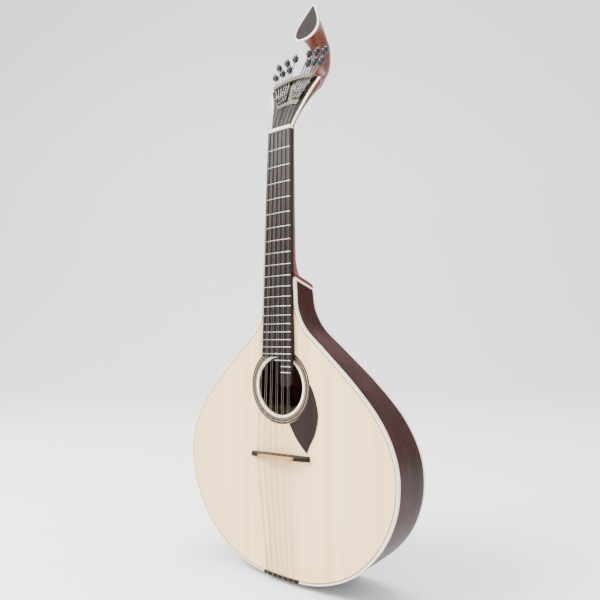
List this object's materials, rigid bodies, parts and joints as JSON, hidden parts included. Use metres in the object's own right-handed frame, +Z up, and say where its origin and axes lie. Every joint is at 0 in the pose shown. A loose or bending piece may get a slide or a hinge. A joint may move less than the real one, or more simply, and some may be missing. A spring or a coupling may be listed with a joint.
{
  "type": "portuguese guitar",
  "caption": "Pear-bodied plucked string instrument with a spruce top, paired steel strings, a fan-shaped screw tuner and a teardrop finial on a curved head.",
  "frame": {"origin": "in the middle of the neck's wood at the nut's lower face, where the prongs of a hanger hold the head", "axes": "+Z up the neck towards the head and parallel to the soundboard, -Y out of the soundboard on the playing side, +X towards the treble strings"},
  "size_m": [0.3578, 0.1408, 0.847],
  "materials": {
    "spruce_top": "satin lacquer, pale cream with straight grain",
    "rosewood": "satin lacquer, dark red-brown with darker streaks",
    "mahogany": "satin lacquer, red-brown",
    "inner_wood": "bare, unfinished",
    "maple_strip": "satin lacquer",
    "ebony": "oiled, near black",
    "dark_leaf": "satin, dark brown",
    "dark_inlay": "satin, dark brown lines",
    "ivory_binding": "glossy, ivory white",
    "ivory_bone": "polished bone",
    "aged_bone": "polished, tan-yellow bone",
    "nickel": "polished nickel plate, slightly warm",
    "dark_chrome": "polished, dark",
    "brass_screws": "polished",
    "fret_wire": "polished nickel silver",
    "string_wire": "drawn steel wire"
  },
  "bodies": {
    "instrument": {"soundboard": "spruce_top", "back_plate": "rosewood", "side_bass": "rosewood", "side_treble": "rosewood", "end_graft": "maple_strip", "neck_block": "inner_wood", "tail_block_wood": "inner_wood", "top_lining": "inner_wood", "back_lining": "inner_wood", "top_braces": "inner_wood", "back_braces": "inner_wood", "top_binding": "ivory_binding", "top_purfling": "dark_inlay", "back_binding": "ivory_binding", "rosette": "dark_inlay", "soundhole_ring": "ivory_binding", "pickguard": "dark_leaf", "bridge_base": "ebony", "bridge_bone": "aged_bone", "tail_saddle": "ebony", "tailpiece": "nickel", "tailpiece_screws": "nickel", "neck": "mahogany", "heel_strip": "ivory_binding", "fretboard": "ebony", "frets": "fret_wire", "nut": "ivory_bone", "head_veneer": "ebony", "head_binding": "ivory_binding", "finial_face": "ebony", "finial_binding": "ivory_binding", "tuner_plate": "nickel", "tuner_bar": "nickel", "tuner_mount_screws": "brass_screws", "strings": "string_wire"},
    "screw_1": {"tuning_screw_1": "dark_chrome"},
    "carriage_1": {"hook_1": "nickel"},
    "screw_2": {"tuning_screw_2": "dark_chrome"},
    "carriage_2": {"hook_2": "nickel"},
    "screw_3": {"tuning_screw_3": "dark_chrome"},
    "carriage_3": {"hook_3": "nickel"},
    "screw_4": {"tuning_screw_4": "dark_chrome"},
    "carriage_4": {"hook_4": "nickel"},
    "screw_5": {"tuning_screw_5": "dark_chrome"},
    "carriage_5": {"hook_5": "nickel"},
    "screw_6": {"tuning_screw_6": "dark_chrome"},
    "carriage_6": {"hook_6": "nickel"},
    "screw_7": {"tuning_screw_7": "dark_chrome"},
    "carriage_7": {"hook_7": "nickel"},
    "screw_8": {"tuning_screw_8": "dark_chrome"},
    "carriage_8": {"hook_8": "nickel"},
    "screw_9": {"tuning_screw_9": "dark_chrome"},
    "carriage_9": {"hook_9": "nickel"},
    "screw_10": {"tuning_screw_10": "dark_chrome"},
    "carriage_10": {"hook_10": "nickel"},
    "screw_11": {"tuning_screw_11": "dark_chrome"},
    "carriage_11": {"hook_11": "nickel"},
    "screw_12": {"tuning_screw_12": "dark_chrome"},
    "carriage_12": {"hook_12": "nickel"}
  },
  "joints": [
    {"name": "turn_1", "type": "hinge", "parent": "instrument", "child": "screw_1", "pos_m": [0, -0.01372, 0.00131], "axis": [-0.3576, 0.3828, 0.8518], "range_deg": [-1800, 1800]},
    {"name": "travel_1", "type": "slide", "parent": "instrument", "child": "carriage_1", "axis": [-0.3576, 0.3828, 0.8518], "range_m": [-0.004, 0.004]},
    {"name": "turn_2", "type": "hinge", "parent": "instrument", "child": "screw_2", "pos_m": [0, -0.01372, 0.00131], "axis": [-0.3062, 0.3902, 0.8683], "range_deg": [-1800, 1800]},
    {"name": "travel_2", "type": "slide", "parent": "instrument", "child": "carriage_2", "axis": [-0.3062, 0.3902, 0.8683], "range_m": [-0.004, 0.004]},
    {"name": "turn_3", "type": "hinge", "parent": "instrument", "child": "screw_3", "pos_m": [0, -0.01372, 0.00131], "axis": [-0.2539, 0.3965, 0.8822], "range_deg": [-1800, 1800]},
    {"name": "travel_3", "type": "slide", "parent": "instrument", "child": "carriage_3", "axis": [-0.2539, 0.3965, 0.8822], "range_m": [-0.004, 0.004]},
    {"name": "turn_4", "type": "hinge", "parent": "instrument", "child": "screw_4", "pos_m": [0, -0.01372, 0.00131], "axis": [-0.2009, 0.4016, 0.8935], "range_deg": [-1800, 1800]},
    {"name": "travel_4", "type": "slide", "parent": "instrument", "child": "carriage_4", "axis": [-0.2009, 0.4016, 0.8935], "range_m": [-0.004, 0.004]},
    {"name": "turn_5", "type": "hinge", "parent": "instrument", "child": "screw_5", "pos_m": [0, -0.01372, 0.00131], "axis": [-0.1473, 0.4055, 0.9022], "range_deg": [-1800, 1800]},
    {"name": "travel_5", "type": "slide", "parent": "instrument", "child": "carriage_5", "axis": [-0.1473, 0.4055, 0.9022], "range_m": [-0.004, 0.004]},
    {"name": "turn_6", "type": "hinge", "parent": "instrument", "child": "screw_6", "pos_m": [0, -0.01372, 0.00131], "axis": [-0.0932, 0.4081, 0.9081], "range_deg": [-1800, 1800]},
    {"name": "travel_6", "type": "slide", "parent": "instrument", "child": "carriage_6", "axis": [-0.0932, 0.4081, 0.9081], "range_m": [-0.004, 0.004]},
    {"name": "turn_7", "type": "hinge", "parent": "instrument", "child": "screw_7", "pos_m": [0, -0.01372, 0.00131], "axis": [0.0932, 0.4081, 0.9081], "range_deg": [-1800, 1800]},
    {"name": "travel_7", "type": "slide", "parent": "instrument", "child": "carriage_7", "axis": [0.0932, 0.4081, 0.9081], "range_m": [-0.004, 0.004]},
    {"name": "turn_8", "type": "hinge", "parent": "instrument", "child": "screw_8", "pos_m": [0, -0.01372, 0.00131], "axis": [0.1473, 0.4055, 0.9022], "range_deg": [-1800, 1800]},
    {"name": "travel_8", "type": "slide", "parent": "instrument", "child": "carriage_8", "axis": [0.1473, 0.4055, 0.9022], "range_m": [-0.004, 0.004]},
    {"name": "turn_9", "type": "hinge", "parent": "instrument", "child": "screw_9", "pos_m": [0, -0.01372, 0.00131], "axis": [0.2009, 0.4016, 0.8935], "range_deg": [-1800, 1800]},
    {"name": "travel_9", "type": "slide", "parent": "instrument", "child": "carriage_9", "axis": [0.2009, 0.4016, 0.8935], "range_m": [-0.004, 0.004]},
    {"name": "turn_10", "type": "hinge", "parent": "instrument", "child": "screw_10", "pos_m": [0, -0.01372, 0.00131], "axis": [0.2539, 0.3965, 0.8822], "range_deg": [-1800, 1800]},
    {"name": "travel_10", "type": "slide", "parent": "instrument", "child": "carriage_10", "axis": [0.2539, 0.3965, 0.8822], "range_m": [-0.004, 0.004]},
    {"name": "turn_11", "type": "hinge", "parent": "instrument", "child": "screw_11", "pos_m": [0, -0.01372, 0.00131], "axis": [0.3062, 0.3902, 0.8683], "range_deg": [-1800, 1800]},
    {"name": "travel_11", "type": "slide", "parent": "instrument", "child": "carriage_11", "axis": [0.3062, 0.3902, 0.8683], "range_m": [-0.004, 0.004]},
    {"name": "turn_12", "type": "hinge", "parent": "instrument", "child": "screw_12", "pos_m": [0, -0.01372, 0.00131], "axis": [0.3576, 0.3828, 0.8518], "range_deg": [-1800, 1800]},
    {"name": "travel_12", "type": "slide", "parent": "instrument", "child": "carriage_12", "axis": [0.3576, 0.3828, 0.8518], "range_m": [-0.004, 0.004]}
  ],
  "couplings": [
    {"joint": "travel_1", "follows": "turn_1", "m_per_rad": -0.000127},
    {"joint": "travel_2", "follows": "turn_2", "m_per_rad": -0.000127},
    {"joint": "travel_3", "follows": "turn_3", "m_per_rad": -0.000127},
    {"joint": "travel_4", "follows": "turn_4", "m_per_rad": -0.000127},
    {"joint": "travel_5", "follows": "turn_5", "m_per_rad": -0.000127},
    {"joint": "travel_6", "follows": "turn_6", "m_per_rad": -0.000127},
    {"joint": "travel_7", "follows": "turn_7", "m_per_rad": -0.000127},
    {"joint": "travel_8", "follows": "turn_8", "m_per_rad": -0.000127},
    {"joint": "travel_9", "follows": "turn_9", "m_per_rad": -0.000127},
    {"joint": "travel_10", "follows": "turn_10", "m_per_rad": -0.000127},
    {"joint": "travel_11", "follows": "turn_11", "m_per_rad": -0.000127},
    {"joint": "travel_12", "follows": "turn_12", "m_per_rad": -0.000127}
  ]
}
